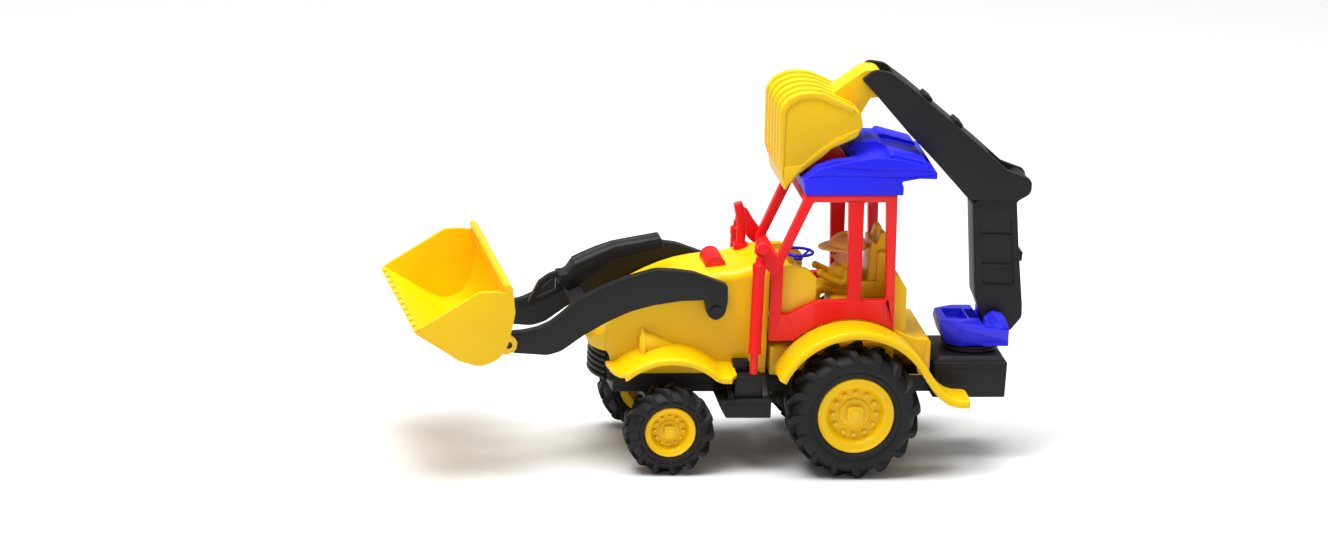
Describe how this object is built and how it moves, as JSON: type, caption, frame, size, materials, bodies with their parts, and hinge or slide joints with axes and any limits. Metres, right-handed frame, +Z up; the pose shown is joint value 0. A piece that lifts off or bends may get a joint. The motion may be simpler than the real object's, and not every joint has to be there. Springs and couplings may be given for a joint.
{
  "type": "toy backhoe loader",
  "caption": "Toy backhoe loader: tractor body with cab and driver, treaded wheels, lifting front loader bucket and a swinging rear digger arm.",
  "frame": {"origin": "on the ground, under the centre of the part's bounding box at rest", "axes": "+X forward towards the loader bucket, +Y to the vehicle's left, +Z up"},
  "size_m": [0.5291, 0.188, 0.3342],
  "materials": {
    "tyre_black": "matt moulded soft plastic with a fine grain",
    "body_yellow": "glossy moulded plastic",
    "cab_red": "glossy moulded plastic",
    "roof_blue": "glossy moulded plastic",
    "arm_black": "satin moulded plastic",
    "hat_orange": "glossy moulded plastic",
    "skin": "satin moulded plastic",
    "steel": "bright zinc plated"
  },
  "bodies": {
    "chassis": {"air_cleaner": "cab_red", "body_screws": "steel", "cab_frame_left": "cab_red", "cab_frame_right": "cab_red", "chassis_frame": "arm_black", "dashboard": "body_yellow", "driver_arms": "skin", "driver_body": "body_yellow", "driver_head": "skin", "exhaust_stack": "cab_red", "front_axle": "steel", "front_fender_left": "body_yellow", "front_fender_right": "body_yellow", "front_grille": "arm_black", "hard_hat": "hat_orange", "hood": "body_yellow", "lift_pins": "arm_black", "rear_axle": "steel", "rear_body": "body_yellow", "rear_box": "arm_black", "rear_box_lid": "arm_black", "rear_crossbar": "cab_red", "rear_fender_left": "body_yellow", "rear_fender_right": "body_yellow", "roof": "roof_blue", "roof_lamp": "cab_red", "seat": "body_yellow", "steering_column": "body_yellow", "step_box_left": "arm_black", "step_box_right": "arm_black", "strut_barrel_left": "cab_red", "strut_barrel_right": "cab_red", "strut_bracket_left": "cab_red", "strut_bracket_right": "cab_red", "strut_rod_left": "cab_red", "strut_rod_right": "cab_red", "windscreen_frame": "cab_red"},
    "rear_wheel_left": {"rear_tyre_left": "tyre_black", "rear_rim_left": "body_yellow"},
    "rear_wheel_right": {"rear_tyre_right": "tyre_black", "rear_rim_right": "body_yellow"},
    "front_wheel_left": {"front_tyre_left": "tyre_black", "front_rim_left": "body_yellow"},
    "front_wheel_right": {"front_tyre_right": "tyre_black", "front_rim_right": "body_yellow"},
    "steering": {"steering_wheel": "roof_blue"},
    "loader": {"loader_arm_left": "arm_black", "loader_arm_right": "arm_black", "loader_crossbar": "arm_black", "lift_handle": "arm_black"},
    "bucket": {"loader_bucket": "body_yellow", "bucket_pins": "steel"},
    "turret": {"turret": "roof_blue", "turntable_ring": "arm_black", "boom_pin": "steel"},
    "boom": {"boom": "arm_black"},
    "dipper": {"dipper": "arm_black", "elbow_pin": "steel", "dipper_pin": "steel"},
    "digger_bucket": {"digger_bucket": "body_yellow"}
  },
  "joints": [
    {"name": "rear_left_spin", "type": "hinge", "parent": "chassis", "child": "rear_wheel_left", "pos_m": [-0.1125, 0.0675, 0.0555], "axis": [0, 1, 0], "continuous": true},
    {"name": "rear_right_spin", "type": "hinge", "parent": "chassis", "child": "rear_wheel_right", "pos_m": [-0.1125, -0.0675, 0.0555], "axis": [0, 1, 0], "continuous": true},
    {"name": "front_left_spin", "type": "hinge", "parent": "chassis", "child": "front_wheel_left", "pos_m": [0.0413, 0.064, 0.0375], "axis": [0, 1, 0], "continuous": true},
    {"name": "front_right_spin", "type": "hinge", "parent": "chassis", "child": "front_wheel_right", "pos_m": [0.0413, -0.064, 0.0375], "axis": [0, 1, 0], "continuous": true},
    {"name": "steering_turn", "type": "hinge", "parent": "chassis", "child": "steering", "pos_m": [-0.0729, 0, 0.172], "axis": [0, 0, 1], "continuous": true},
    {"name": "loader_lift", "type": "hinge", "parent": "chassis", "child": "loader", "pos_m": [0.0027, 0, 0.134], "axis": [0, -1, 0], "range_deg": [-16, 36]},
    {"name": "bucket_tilt", "type": "hinge", "parent": "loader", "child": "bucket", "pos_m": [0.1774, 0, 0.1066], "axis": [0, 1, 0], "range_deg": [-8, 70]},
    {"name": "digger_swing", "type": "hinge", "parent": "chassis", "child": "turret", "pos_m": [-0.2225, 0, 0.0905], "axis": [0, 0, 1], "range_deg": [-90, 90]},
    {"name": "boom_lift", "type": "hinge", "parent": "turret", "child": "boom", "pos_m": [-0.2425, 0, 0.114], "axis": [0, -1, 0], "range_deg": [0, 45]},
    {"name": "dipper_reach", "type": "hinge", "parent": "boom", "child": "dipper", "pos_m": [-0.2545, 0, 0.2327], "axis": [0, -1, 0], "range_deg": [0, 110]},
    {"name": "bucket_curl", "type": "hinge", "parent": "dipper", "child": "digger_bucket", "pos_m": [-0.1275, 0, 0.322], "axis": [0, -1, 0], "range_deg": [0, 80]}
  ]
}
